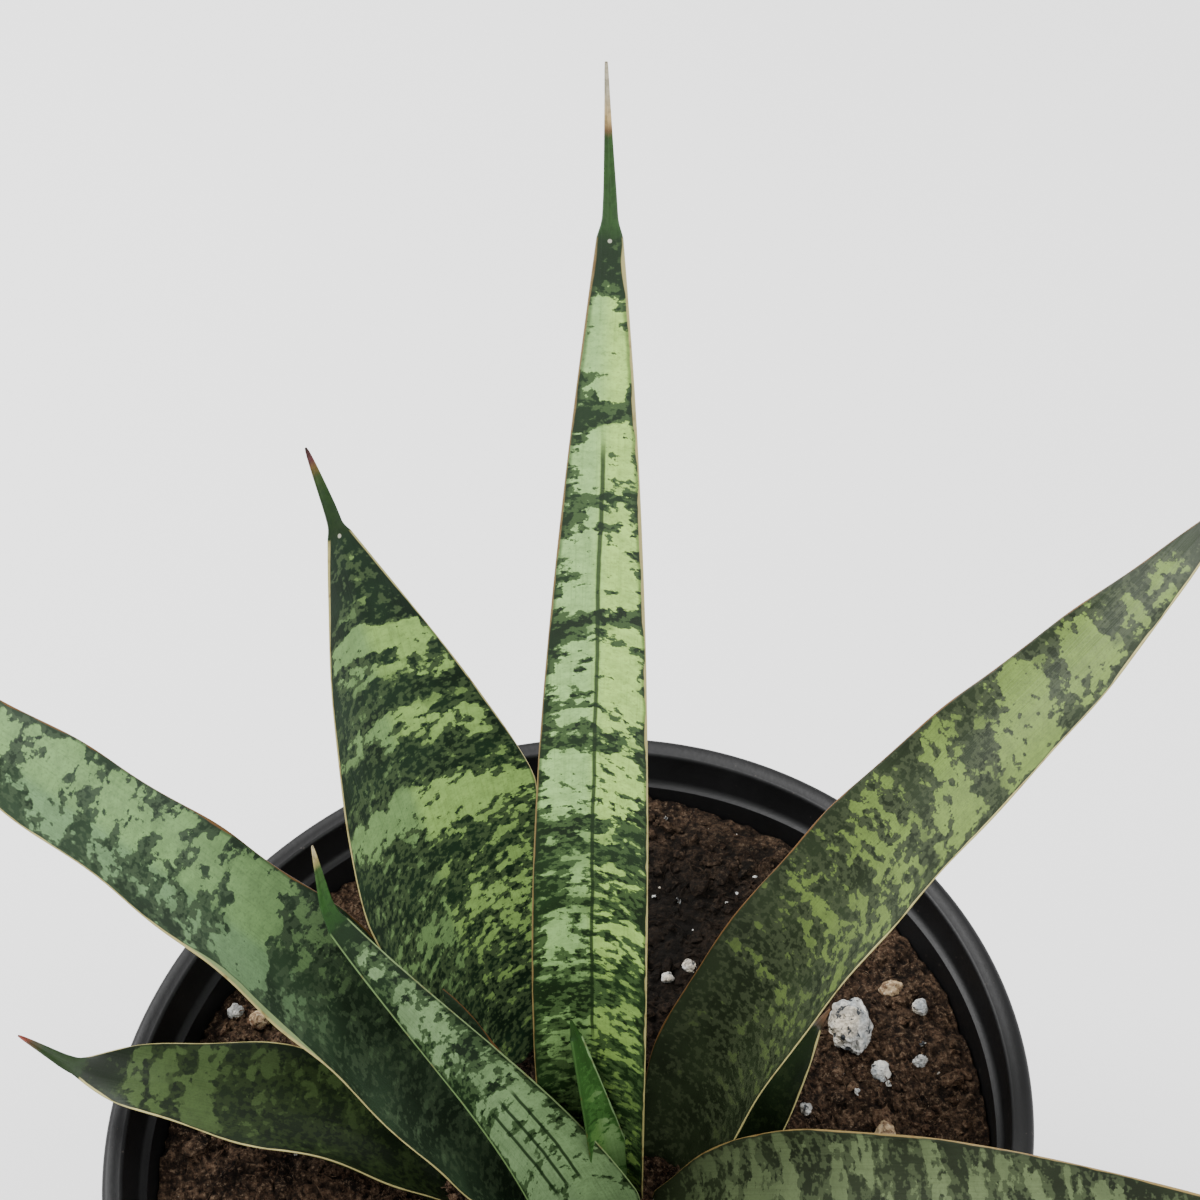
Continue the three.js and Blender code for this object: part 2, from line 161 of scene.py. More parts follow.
LEAVES = [
    PLAIN_LEAF | dict(
        name="leaf_young_folded", slot="leaf_pale",
        at=(1.5, -12.5), lean=(12, 26, 30), compass=(145, 152, 141), turn=(-34, -20),
        length=84.5, width=21, foot_width=0.95, widest_at=0.05, taper=0.95, fold=(51, 58),
        tip_width=4.4, awn=dict(length=15, width=3.4, lean=24, compass=88, shape=0.75),
        slant=0.5, bias=0.05, foot_shade=0.05, rims=(1.5, 1.5), strips=(0.12, 0.15),
        veins=dict(across=(-2.6, 0.4, 3.1), first=0.12, last=0.46),
        bands=[
            (0, 0.68), (0.25, 0.64), (0.34, 0.52), (0.42, 0.66), (0.5, 0.46), (0.58, 0.42),
            (0.66, 0.6), (0.74, 0.5), (0.82, 0.42), (0.88, 0.56), (0.93, 0.36), (1, 0.15),
        ],
        light=((0.165, 0.26, 0.12), (0.185, 0.3, 0.13)),
        mid=(0.044, 0.08, 0.03), dark=(0.006, 0.017, 0.005),
        margins=((0.12, 0.2, 0.07), (0.17, 0.24, 0.1)),
        tips=[
            (0, (0.012, 0.04, 0.008)), (0.4, (0.022, 0.075, 0.012)), (0.72, (0.035, 0.08, 0.018)),
            (0.82, (0.3, 0.25, 0.1)), (1, (0.5, 0.42, 0.25)),
        ],
    ),
    PLAIN_LEAF | dict(
        name="leaf_tall_centre", slot="leaf_pale",
        at=(4.2, -3.6), lean=(5, 8, 11), compass=(-10, -33, -55), turn=(81, 137),
        length=227, width=20.4, foot_width=1, widest_at=0.1, taper=1.9, fold=(49, 28),
        tip_width=2.8, awn=dict(length=20, width=1.8, lean=8, compass=45, shape=1.25),
        slant=0.12, bias=-0.04, rims=(3.2, 2.2), strips=(0.16, 0.3), dot=0.3,
        veins=dict(across=(0,), first=0.2, last=0.87),
        bands=[
            (0, 0.44), (0.1, 0.42), (0.15, 0.36), (0.19, 0.46), (0.225, 0.56), (0.25, 0.48),
            (0.295, 0.34), (0.32, 0.48), (0.37, 0.58), (0.4, 0.32), (0.425, 0.5), (0.45, 0.38),
            (0.48, 0.38), (0.52, 0.56), (0.565, 0.64), (0.585, 0.36), (0.605, 0.56), (0.66, 0.68),
            (0.69, 0.62), (0.703, 0.2), (0.72, 0.66), (0.77, 0.66), (0.8, 0.46), (0.83, 0.66),
            (0.865, 0.7), (0.88, 0.22), (0.9, 0.72), (0.96, 0.74), (0.975, 0.25), (1, 0.15),
        ],
        light=((0.35, 0.6, 0.2), (0.49, 0.79, 0.17)),
        mid=(0.055, 0.105, 0.033), dark=(0.007, 0.021, 0.005),
        margins=(GOLD, CREAM),
        tips=[
            (0, (0.012, 0.036, 0.008)), (0.1, (0.02, 0.06, 0.012)), (0.6, (0.022, 0.065, 0.012)),
            (0.64, (0.12, 0.07, 0.03)), (0.7, (0.42, 0.3, 0.13)), (0.85, (0.4, 0.36, 0.26)),
        ],
    ),
    PLAIN_LEAF | dict(
        name="leaf_inner_spear", slot="leaf_fresh",
        at=(6.9, -7.4), lean=(1, 1, 1), compass=(200, 200, 200), turn=(-90, -90),
        length=53, width=9, foot_width=0.9, widest_at=0.1, taper=1.1, fold=(42, 60),
        tip_width=2.3, awn=dict(length=5, width=1.6, lean=2, compass=200, shape=0.8),
        slant=0.3, bias=-0.12, speckle=0.3, rims=(1, 1), strips=(0.12, 0.2),
        bands=[(0, 0.62), (0.3, 0.6), (0.5, 0.42), (0.8, 0.3), (1, 0.1)],
        light=((0.12, 0.24, 0.06), (0.2, 0.33, 0.13)),
        mid=(0.05, 0.135, 0.03), dark=(0.025, 0.075, 0.015),
        margins=((0.05, 0.12, 0.03), (0.2, 0.32, 0.14)),
        tips=[(0, (0.014, 0.045, 0.009)), (1, (0.02, 0.05, 0.01))],
    ),
    PLAIN_LEAF | dict(
        name="leaf_long_right", slot="leaf_olive",
        at=(19.1, -5.5), lean=(28, 45, 60), compass=(30, 15, 29), turn=(3, -1),
        length=156, width=29, foot_width=0.6, widest_at=0.17, taper=2.5, fold=(61, 29),
        tip_width=2.3, awn=dict(length=12, width=1.8, lean=58, compass=30, shape=0.9), wave=0.3,
        slant=-0.25, rims=(4, 2), strips=(0.2, 0.35),
        bands=[
            (0, 0.24), (0.14, 0.28), (0.2, 0.38), (0.24, 0.34), (0.29, 0.46), (0.33, 0.36),
            (0.38, 0.48), (0.43, 0.42), (0.48, 0.48), (0.52, 0.5), (0.56, 0.34), (0.6, 0.68),
            (0.635, 0.46), (0.665, 0.34), (0.7, 0.66), (0.74, 0.68), (0.765, 0.34), (0.79, 0.6),
            (0.82, 0.68), (0.845, 0.34), (0.87, 0.6), (0.89, 0.4), (0.925, 0.6), (0.945, 0.36),
            (0.97, 0.2), (1, 0.1),
        ],
        light=((0.135, 0.205, 0.045), (0.135, 0.2, 0.048)),
        mid=(0.038, 0.05, 0.024), dark=(0.014, 0.021, 0.009),
        margins=(RUST, CREAM),
        tips=[(0, (0.012, 0.025, 0.008)), (0.6, (0.06, 0.035, 0.015)), (1, (0.05, 0.02, 0.012))],
    ),
    PLAIN_LEAF | dict(
        name="leaf_long_left", slot="leaf_blue_green",
        at=(-9.2, -6.4), lean=(25, 41, 55), compass=(149, 157, 160), turn=(-1, 7),
        length=225, width=30.4, foot_width=0.65, widest_at=0.16, taper=1.2, fold=(57, 33),
        tip_width=2.3, awn=dict(length=14, width=1.8, lean=52, compass=158, shape=0.9), wave=0.6,
        slant=0.15, bias=-0.06, stripe=0.9, rims=(7, 2), strips=(0.35, 0.4),
        curl=dict(first=0.25, last=0.42, width=2.2),
        bands=[
            (0, 0.24), (0.12, 0.28), (0.26, 0.34), (0.3, 0.44), (0.325, 0.36), (0.34, 0.76),
            (0.37, 0.76), (0.385, 0.36), (0.405, 0.66), (0.42, 0.38), (0.435, 0.66), (0.455, 0.38),
            (0.48, 0.7), (0.51, 0.42), (0.535, 0.74), (0.56, 0.44), (0.6, 0.68), (0.68, 0.42),
            (0.76, 0.66), (0.84, 0.42), (0.92, 0.6), (0.97, 0.3), (1, 0.15),
        ],
        light=((0.15, 0.26, 0.12), (0.19, 0.33, 0.12)),
        mid=(0.044, 0.07, 0.036), dark=(0.017, 0.032, 0.016),
        margins=(CREAM, RUST),
        tips=[(0, (0.012, 0.03, 0.01)), (0.6, (0.08, 0.05, 0.02)), (1, (0.06, 0.025, 0.015))],
    ),
    PLAIN_LEAF | dict(
        name="leaf_lower_right", slot="leaf_dark",
        at=(12.7, -15.5), lean=(45, 60, 70), compass=(-37, -28, -16), turn=(-5, 36),
        length=116, width=30, foot_width=0.4, widest_at=0.3, taper=2.2, fold=(79, 25),
        tip_width=2.3, awn=dict(length=12, width=1.8, lean=64, compass=-14, shape=0.9), wave=0.3,
        slant=0.2, stripe=2.2, speckle=0.55, rims=(2, 2), strips=(0.25, 0.3),
        bands=[
            (0, 0.3), (0.15, 0.42), (0.22, 0.52), (0.28, 0.4), (0.34, 0.54), (0.4, 0.4),
            (0.47, 0.53), (0.54, 0.4), (0.6, 0.52), (0.68, 0.42), (0.76, 0.5), (0.88, 0.36),
            (1, 0.1),
        ],
        light=((0.105, 0.14, 0.062), (0.105, 0.14, 0.062)),
        mid=(0.046, 0.062, 0.028), dark=(0.012, 0.017, 0.007),
        margins=(GOLD, GOLD),
        tips=[(0, (0.012, 0.02, 0.008)), (0.6, (0.06, 0.03, 0.015)), (1, (0.05, 0.02, 0.012))],
    ),
    PLAIN_LEAF | dict(
        name="leaf_broad_rear_left", slot="leaf_olive",
        at=(-10, 15), lean=(8, 9, 10), compass=(121, 104, 92), turn=(30, 29),
        length=135, width=41.3, foot_width=0.3, widest_at=0.53, taper=1.25, fold=(42, 42),
        tip_width=4.4, awn=dict(length=17, width=2.6, lean=6, compass=139, shape=0.6),
        slant=-0.35, bias=-0.07, foot_shade=0.25, rims=(4, 3), strips=(0.25, 0.2), dot=0.4,
        bands=[
            (0, 0.3), (0.2, 0.38), (0.3, 0.44), (0.38, 0.48), (0.44, 0.42), (0.5, 0.38),
            (0.54, 0.44), (0.565, 0.64), (0.595, 0.68), (0.62, 0.4), (0.66, 0.3), (0.695, 0.46),
            (0.725, 0.58), (0.75, 0.34), (0.785, 0.3), (0.805, 0.52), (0.82, 0.36), (0.83, 0.62),
            (0.855, 0.76), (0.872, 0.3), (0.94, 0.26), (0.96, 0.38), (0.98, 0.22), (1, 0.12),
        ],
        light=((0.175, 0.3, 0.105), (0.275, 0.45, 0.115)),
        mid=(0.05, 0.08, 0.033), dark=(0.007, 0.018, 0.008),
        margins=(CREAM, CREAM),
        tips=[
            (0, (0.012, 0.026, 0.008)), (0.5, (0.015, 0.04, 0.008)), (0.68, (0.03, 0.055, 0.012)),
            (0.78, (0.13, 0.08, 0.02)), (0.86, (0.1, 0.03, 0.03)), (1, (0.03, 0.015, 0.015)),
        ],
    ),
    PLAIN_LEAF | dict(
        name="leaf_low_left", slot="leaf_dark",
        at=(-21.6, -4.5), lean=(45, 65, 80), compass=(146, 165, 160), turn=(19, 0),
        length=73, width=23.7, foot_width=0.6, widest_at=0.26, taper=2.4, fold=(68, 23),
        tip_width=4.6, awn=dict(length=14, width=3.6, lean=78, compass=144, shape=0.75), wave=0.8,
        slant=0.1, speckle=0.5, rims=(2, 2), strips=(0.3, 0.15),
        bands=[
            (0, 0.22), (0.3, 0.34), (0.42, 0.42), (0.5, 0.36), (0.6, 0.44), (0.655, 0.34),
            (0.68, 0.66), (0.735, 0.68), (0.76, 0.28), (0.79, 0.62), (0.82, 0.62), (0.835, 0.3),
            (0.855, 0.64), (0.875, 0.6), (0.9, 0.28), (1, 0.1),
        ],
        light=((0.042, 0.07, 0.02), (0.042, 0.07, 0.02)),
        mid=(0.014, 0.025, 0.006), dark=(0.004, 0.009, 0.002),
        margins=(CREAM, CREAM),
        tips=[
            (0, (0.01, 0.022, 0.005)), (0.6, (0.012, 0.028, 0.006)), (0.78, (0.05, 0.03, 0.01)),
            (0.9, (0.15, 0.025, 0.014)),
        ],
    ),
    PLAIN_LEAF | dict(
        name="leaf_small_dark_right", slot="leaf_dark",
        at=(25, -9), lean=(35, 55, 60), compass=(35, 34, 32), turn=(10, 10),
        length=34, width=17, foot_width=0.45, widest_at=0.3, taper=1.6, fold=(60, 35),
        tip_width=2.3, awn=dict(length=4, width=1.6, lean=58, compass=32, shape=0.9), wave=0.3,
        slant=0, speckle=0.4, rims=(1, 1), strips=(0.15, 0.35),
        bands=[(0, 0.1), (0.6, 0.25), (1, 0.1)],
        light=((0.035, 0.055, 0.02), (0.035, 0.055, 0.02)),
        mid=(0.018, 0.03, 0.01), dark=(0.008, 0.016, 0.005),
        margins=(CREAM, CREAM),
        tips=[(0, (0.02, 0.02, 0.01)), (1, (0.2, 0.1, 0.05))],
    ),
]


# ---------------- small maths
def through_three(share, stops):
    """A smooth curve through values at shares 0, 0.5 and 1."""
    foot, middle, tip = stops
    return (
        foot * (1 - share) * (1 - 2 * share)
        + middle * 4 * share * (1 - share)
        + tip * share * (2 * share - 1)
    )


def between(share, ends):
    return ends[0] + (ends[1] - ends[0]) * share


def heading(lean, compass):
    across = math.sin(math.radians(lean))
    around = math.radians(compass)
    return Vector((across * math.cos(around), across * math.sin(around), math.cos(math.radians(lean))))


def bump_noise(x, y, z, size, octaves=3):
    return noise.fractal(Vector((x, y, z)) / size, 0.9, 2.1, octaves)


def mound(x, y, height, at, reach, power):
    return height * math.exp(-(((x - at[0]) / reach[0]) ** power) - ((y - at[1]) / reach[1]) ** power)


def directions(count):
    """Unit vectors evenly round the ground plane, as (x, y)."""
    angles = [2 * math.pi * i / count for i in range(count)]
    return [(math.cos(angle), math.sin(angle)) for angle in angles]


# ---------------- mesh helpers
def mesh_object(name, vertices, faces, floats=None, smooth=True):
    """A mesh in metres from vertices in millimetres, with named float attributes on its points."""
    mesh = bpy.data.meshes.new(name)
    mesh.from_pydata([[c * MM for c in v] for v in vertices], [], faces)
    mesh.validate()
    for key, values in (floats or {}).items():
        attribute = mesh.attributes.new(key, "FLOAT", "POINT")
        attribute.data.foreach_set("value", values)
    made = bpy.data.objects.new(name, mesh)
    bpy.context.scene.collection.objects.link(made)
    if smooth:
        mesh.shade_smooth()
    return made


def paint(piece, material):
    piece.data.materials.clear()
    piece.data.materials.append(material)


def hand_over(piece, slot, material, *nodes):
    """The steps every finished piece takes: its material, its body and what it stands for; slot is not
    used.
    """
    paint(piece, material)
    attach(piece, "root")
    if nodes:
        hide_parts(*nodes)


# ---------------- leaf geometry
# A station is one section of a leaf: the spine's place, the directions across the blade and out of
# its upper face, half the width, half angle of the channel, thickness, and distance up the leaf.
Station = namedtuple("Station", "place side face half fold thick distance")


def leaf_frame(leaf, share):
    """The directions along the spine, across the blade and out of its upper face."""
    lean = through_three(share, leaf["lean"])
    compass = through_three(share, leaf["compass"])
    along = heading(lean, compass)
    around = math.radians(compass)
    level = Vector((-math.sin(around), math.cos(around), 0))
    inward = along.cross(level)
    turn = math.radians(between(share, leaf["turn"]))
    side = level * math.cos(turn) + inward * math.sin(turn)
    face = inward * math.cos(turn) - level * math.sin(turn)
    return along, side, face


def leaf_half_width(leaf, share):
    if share < leaf["widest_at"]:
        shape = between(math.sin(math.pi / 2 * share / leaf["widest_at"]), (leaf["foot_width"], 1))
    else:
        shape = 1 - ((share - leaf["widest_at"]) / (1 - leaf["widest_at"])) ** leaf["taper"]
    return leaf["width"] / 2 * shape + leaf["tip_width"] / 2 * share


def leaf_start(leaf):
    return Vector((*leaf["at"], CROWN_LEVEL))


def buried_stations(leaf):
    """The blade's foot in the soil, which narrows and straightens as it goes down."""
    along, side, face = leaf_frame(leaf, 0)
    down = along * 0.3 + Vector((0, 0, 0.7))
    fold = leaf["fold"][0]
    stations = []
    for i in range(BURIED_STEPS, 0, -1):
        depth = BURIED_LENGTH * i / BURIED_STEPS
        place = leaf_start(leaf) - down * depth
        half = leaf_half_width(leaf, 0) * (1 - 0.012 * depth)
        stations.append(Station(place, side, face, half, fold, LEAF_THICKNESS, -depth))
    return stations


def blade_stations(leaf):
    step_length = leaf["length"] / BLADE_STEPS
    place = leaf_start(leaf)
    stations = []
    for i in range(BLADE_STEPS + 1):
        share = i / BLADE_STEPS
        side, face = leaf_frame(leaf, share)[1:]
        half = leaf_half_width(leaf, share)
        fold = between(share, leaf["fold"])
        thick = between(share**2, (LEAF_THICKNESS, TIP_THICKNESS))
        stations.append(Station(place.copy(), side, face, half, fold, thick, share * leaf["length"]))
        place += leaf_frame(leaf, share + 0.5 / BLADE_STEPS)[0] * step_length
    return stations


def awn_stations(leaf, tip):
    """The rolled awn, which narrows at a short neck and turns from the blade's direction to its own."""
    awn = leaf["awn"]
    aim = heading(awn["lean"], awn["compass"])
    blade_aim = leaf_frame(leaf, 1)[0]
    place = tip.place.copy()
    stations = []
    for i in range(1, AWN_STEPS + 1):
        share = i / AWN_STEPS
        bend = min(1, share * 2.5)
        place += (blade_aim * (1 - bend) + aim * bend).normalized() * (awn["length"] / AWN_STEPS)
        neck = max(0, 1 - share * 7) ** 2
        half = awn["width"] / 2 * (1 - share) ** awn["shape"]
        half = between(neck, (half, tip.half)) + AWN_END_HALF_WIDTH
        fold = between(share, (tip.fold, 85))
        thick = between(share, (tip.thick, AWN_END_THICKNESS))
        distance = leaf["length"] + share * awn["length"]
        stations.append(Station(place.copy(), tip.side, tip.face, half, fold, thick, distance))
    return stations


def leaf_section(leaf, station, seed):
    """The closed outline of a station, as (point, place across from -1 to 1) pairs."""
    half = station.half
    fold = max(math.radians(station.fold), 0.02)
    upper = []
    lower = []
    for i in range(ACROSS_STEPS + 1):
        even = i / ACROSS_STEPS * 2 - 1
        v = 0.5 * math.sin(even * math.pi / 2) + 0.5 * even
        angle = fold * v
        sideways = half * math.sin(angle) / fold
        raised = half * (1 - math.cos(angle)) / fold
        flutter = math.sin(station.distance / FLUTTER_LENGTH + seed + 1.3 * v)
        wave = leaf["wave"] * abs(v) ** 3 * flutter * min(1, half / 6)
        wobble = WOBBLE_HEIGHT * bump_noise(station.distance, half * v + 40, seed, WOBBLE_LENGTH, 2)
        wobble *= min(1, half / 5)
        groove = GROOVE_DEPTH * math.exp(-((half * v / GROOVE_WIDTH) ** 2)) * min(1, half / 6)
        normal = station.face * math.cos(angle) - station.side * math.sin(angle)
        centre = station.place + station.side * sideways + station.face * (raised + wave + wobble)
        rounding = math.sqrt(max(0, 1 - abs(v) ** 6))
        depth = between(1 - v * v, (EDGE_THICKNESS, station.thick)) / 2 * (0.45 + 0.55 * rounding)
        depth = min(depth, station.thick / 2)
        upper.append((centre + normal * (depth - groove), v))
        lower.append((centre - normal * depth, v))
    return upper + lower[::-1]


def tube_faces(rings, count):
    """The faces of a tube through rings of vertices, closed by a flat cap at each end."""
    faces = []
    for r in range(rings - 1):
        for i in range(count):
            a = r * count + i
            b = r * count + (i + 1) % count
            faces.append((a, a + count, b + count, b))
    last = (rings - 1) * count
    faces.append(tuple(range(count)))
    faces.append(tuple(last + i for i in reversed(range(count))))
    return faces


def name_number(leaf):
    """A number of the leaf's own, which sets its noise apart from the other leaves'."""
    return sum(ord(c) for c in leaf["name"])


def build_leaf(leaf, material):
    blade = blade_stations(leaf)
    stations = buried_stations(leaf) + blade + awn_stations(leaf, blade[-1])
    vertices = []
    floats = {key: [] for key in ("of_share", "of_along", "of_across", "of_edge")}
    for station in stations:
        up_blade = max(0, min(1, station.distance / leaf["length"]))
        up_awn = max(0, (station.distance - leaf["length"]) / leaf["awn"]["length"])
        for point, v in leaf_section(leaf, station, name_number(leaf)):
            vertices.append(point)
            floats["of_share"].append(up_blade + up_awn)
            floats["of_along"].append(station.distance)
            floats["of_across"].append(station.half * v)
            floats["of_edge"].append(station.half * (1 - abs(v)))
    faces = tube_faces(len(stations), 2 * (ACROSS_STEPS + 1))
    made = mesh_object(leaf["name"] + "_blade", vertices, faces, floats)
    hand_over(made, leaf["slot"], material, leaf["name"])


# ---------------- shader helpers
class Shader:
    """A material under construction, with short names for the nodes this scene uses."""

    def __init__(self, name):
        self.material = bpy.data.materials.new(name)
        self.material.use_nodes = True
        self.tree = self.material.node_tree
        self.surface = self.tree.nodes["Principled BSDF"]

    def node(self, kind, inputs, **settings):
        """A new node; inputs gives values or other nodes' outputs by socket name or number."""
        made = self.tree.nodes.new(kind)
        for key, value in settings.items():
            setattr(made, key, value)
        for key, value in inputs.items():
            self.feed(made.inputs[key], value)
        return made

    def feed(self, socket, value):
        if isinstance(value, bpy.types.NodeSocket):
            self.tree.links.new(value, socket)
        elif isinstance(value, tuple) and len(value) == 3 and socket.type == "RGBA":
            socket.default_value = (*value, 1)
        else:
            socket.default_value = value

    def value(self, name):
        return self.node("ShaderNodeAttribute", {}, attribute_name=name).outputs["Fac"]

    def place(self):
        return self.node("ShaderNodeTexCoord", {}).outputs["Object"]

    def point(self, x=0.0, y=0.0, z=0.0):
        return self.node("ShaderNodeCombineXYZ", {0: x, 1: y, 2: z}).outputs[0]

    def math(self, operation, first, second=0.0):
        return self.node("ShaderNodeMath", {0: first, 1: second}, operation=operation).outputs[0]

    def plus(self, first, second):
        return self.math("ADD", first, second)

    def times(self, first, second):
        return self.math("MULTIPLY", first, second)

    def centred(self, value):
        """Noise from 0 to 1 as a swing about 0."""
        return self.plus(value, -0.5)

    def noise(self, vector, scale, detail=3.0, roughness=0.55, distortion=0.0):
        inputs = {"Vector": vector, "Scale": scale, "Detail": detail, "Roughness": roughness}
        inputs["Distortion"] = distortion
        return self.node("ShaderNodeTexNoise", inputs).outputs["Fac"]

    def cells(self, vector, scale):
        inputs = {"Vector": vector, "Scale": scale}
        return self.node("ShaderNodeTexVoronoi", inputs, feature="F1").outputs["Distance"]

    def step(self, value, low, high):
        """0 where the value is at low or beyond and 1 where it is at high, with a smooth change."""
        inputs = {"Value": value, "From Min": low, "From Max": high}
        return self.node("ShaderNodeMapRange", inputs, interpolation_type="SMOOTHSTEP").outputs["Result"]

    def levels(self, value, pairs):
        return self.colors(value, [(place, (level, level, level)) for place, level in pairs])

    def colors(self, value, pairs):
        """A ramp through (place, colour) stops."""
        made = self.node("ShaderNodeValToRGB", {"Fac": value})
        ramp = made.color_ramp
        while len(ramp.elements) < len(pairs):
            ramp.elements.new(0.5)
        for element, (place, color) in zip(ramp.elements, pairs):
            element.position = place
            element.color = (*color, 1)
        return made.outputs["Color"]

    def mix(self, share, first, second):
        """The first colour where the share is 0 and the second where it is 1."""
        inputs = {0: share, 6: first, 7: second}
        return self.node("ShaderNodeMix", inputs, data_type="RGBA").outputs[2]

    def blend(self, color, other, mask, amount):
        """The colour, with an amount of the other one where the mask is 1."""
        return self.mix(self.times(mask, amount), color, other)

    def bump(self, height, strength, distance):
        inputs = {"Height": height, "Strength": strength, "Distance": distance}
        return self.node("ShaderNodeBump", inputs).outputs["Normal"]

    def finish(self, color, roughness, normal, gloss):
        self.feed(self.surface.inputs["Base Color"], color)
        self.feed(self.surface.inputs["Roughness"], roughness)
        self.feed(self.surface.inputs["Normal"], normal)
        self.surface.inputs["Specular IOR Level"].default_value = gloss
        return self.material


# ---------------- leaf material
# Noise scales are in cells per mm of blade.
BAND_CONTRAST = 1.4
BAND_WARP = 11
BLOTCH_STRENGTH = 1.2
SPECKLE_STRENGTH = 2.4
RIM_DARKENING = 0.24
THINNEST_MARGIN = 0.05


class LeafSkin(Shader):
    """The Shader of one leaf, with that leaf's surface coordinates in millimetres."""

    def __init__(self, leaf):
        super().__init__(leaf["name"] + "_skin")
        self.leaf = leaf
        self.seed = (name_number(leaf) % 97) * 13
        self.share = self.value("of_share")
        self.along = self.value("of_along")
        self.across = self.value("of_across")
        self.edge = self.value("of_edge")
        self.right = self.step(self.across, 1.5, -1.5)

    def skin(self, squeeze=1, offset=0):
        """A noise place on the blade; a squeeze under 1 stretches the pattern across the leaf."""
        return self.point(self.times(self.across, squeeze), self.along, self.seed + offset)

    def both_sides(self, pair):
        """The first of a pair of numbers on the left of the leaf and the second on its right."""
        left, right = pair
        return self.plus(self.times(self.right, right - left), left)

    def stretch(self, first, last, fade_in, fade_out):
        """A mask of the leaf between two shares, which fades in and out inside them."""
        rise = self.step(self.share, first, first + fade_in)
        return self.times(rise, self.step(self.share, last, last - fade_out))


def leaf_lightness(s):
    """The lightness of the broad cross bands, and the same with stripes, blotches and speckles."""
    leaf = s.leaf
    warp = s.centred(s.noise(s.skin(offset=50), 0.16, 3))
    climbed = s.times(s.across, leaf["slant"] / leaf["length"])
    moved = s.plus(s.plus(s.share, climbed), s.times(warp, BAND_WARP / leaf["length"]))
    broad = s.levels(moved, leaf["bands"])
    broad = s.plus(s.times(broad, BAND_CONTRAST), 0.5 - 0.5 * BAND_CONTRAST)
    broad = s.plus(broad, s.times(s.across, 2 * leaf["bias"] / leaf["width"]))
    stripes = s.centred(s.noise(s.skin(0.25, 9), 0.3, 2, 0.5))
    blotches = s.centred(s.noise(s.skin(0.8), 0.3, 2, 0.5))
    speckles = s.centred(s.noise(s.skin(0.9, 3), 0.6, 4, 0.6))
    level = s.plus(broad, s.times(stripes, leaf["stripe"]))
    level = s.plus(level, s.times(blotches, BLOTCH_STRENGTH))
    level = s.plus(level, s.times(speckles, SPECKLE_STRENGTH * leaf["speckle"]))
    rim = s.step(s.edge, s.both_sides(leaf["rims"]), 0)
    return broad, s.plus(level, s.times(rim, -RIM_DARKENING))


def leaf_ground(s, level):
    """The dark green, with the mid green mottled on it."""
    dark = s.leaf["dark"]
    tone = s.step(s.noise(s.skin(), 0.1, 2), 0.35, 0.65)
    ground = s.mix(tone, tuple(c * 0.75 for c in dark), tuple(c * 1.35 for c in dark))
    mottle = s.centred(s.noise(s.skin(0.9, 21), 0.95, 2, 0.55))
    mottled = s.step(s.plus(level, s.times(mottle, 2)), 0.16, 0.38)
    return s.blend(ground, s.leaf["mid"], mottled, 0.85)


def leaf_pale(s, broad):
    """The pale green, clouded and grained, duller in dark bands, and duller towards the foot: partly its
    own colour, partly painted shade.
    """
    leaf = s.leaf
    pale = s.mix(s.right, *leaf["light"])
    cloud = s.step(s.noise(s.skin(0.8, 33), 0.5, 4, 0.65), 0.35, 0.65)
    pale = s.mix(cloud, s.mix(0.28, pale, leaf["mid"]), pale)
    grain = s.step(s.noise(s.skin(0.9, 60), 2.2, 3, 0.6), 0.48, 0.7)
    pale = s.blend(pale, leaf["mid"], grain, 0.3)
    pale = s.mix(s.step(broad, 0.2, 0.56), s.mix(0.62, pale, leaf["mid"]), pale)
    # Partly painted shade: the pale green dulls towards the foot, where the leaves crowd and shade one
    # another; the rest is the foot's own duller green.
    return s.blend(pale, leaf["mid"], s.step(s.share, 0.55, 0.1), leaf["foot_shade"])


def leaf_fibres(s):
    return s.noise(s.point(s.times(s.across, 2.6), s.times(s.along, 0.05), s.seed), 1, 2)


def leaf_veins(s, color):
    """Dark lengthwise lines that wander a little, on the leaves that have them."""
    veins = s.leaf["veins"]
    if not veins:
        return color
    for place in veins["across"]:
        drift = s.times(s.centred(s.noise(s.point(s.along, place, s.seed), 0.08, 2)), 0.9)
        away = s.math("ABSOLUTE", s.plus(s.plus(s.across, -place), drift))
        reach = s.stretch(veins["first"], veins["last"], 0.04, 0.03)
        color = s.blend(color, s.leaf["dark"], s.times(s.step(away, 0.42, 0.18), reach), 0.9)
    return color


def margin_width(s):
    """Width of the dry margin in mm, more where the outer face of a wavy or curled edge shows."""
    swell = s.step(s.noise(s.point(s.along, s.right, s.seed + 5), 0.075, 3), 0.42, 0.6)
    full = s.plus(s.both_sides(s.leaf["strips"]), -THINNEST_MARGIN)
    width = s.plus(s.times(swell, full), THINNEST_MARGIN)
    curl = s.leaf["curl"]
    if not curl:
        return width
    turned = s.stretch(curl["first"], curl["last"], 0.06, 0.06)
    return s.plus(width, s.times(turned, s.both_sides((curl["width"], 0))))


def leaf_margin(s, color):
    """The dry coloured margin, with a dark line inside it."""
    leaf = s.leaf
    inset = s.math("SUBTRACT", s.edge, margin_width(s))
    color = s.blend(color, leaf["dark"], s.step(inset, 0.55, 0.15), 0.6)
    dry = s.mix(s.right, *leaf["margins"])
    worn = s.noise(s.point(s.along, s.across, s.seed + 71), 0.35, 3)
    dry = s.blend(dry, RUST, s.step(worn, 0.55, 0.72), 0.6)
    dry = s.blend(dry, leaf["light"][0], s.step(s.edge, 0.35, 0.8), 0.7)
    return s.mix(s.step(inset, 0.06, -0.06), color, dry)


def leaf_tip(s, color):
    """The rolled awn, mottled, in the colours it dries through."""
    awn = s.colors(s.plus(s.share, -1), s.leaf["tips"])
    mottle = s.step(s.noise(s.skin(1, 90), 0.9, 3, 0.6), 0.45, 0.6)
    awn = s.blend(awn, s.leaf["dark"], mottle, 0.35)
    return s.mix(s.step(s.share, 0.985, 1.02), color, awn)


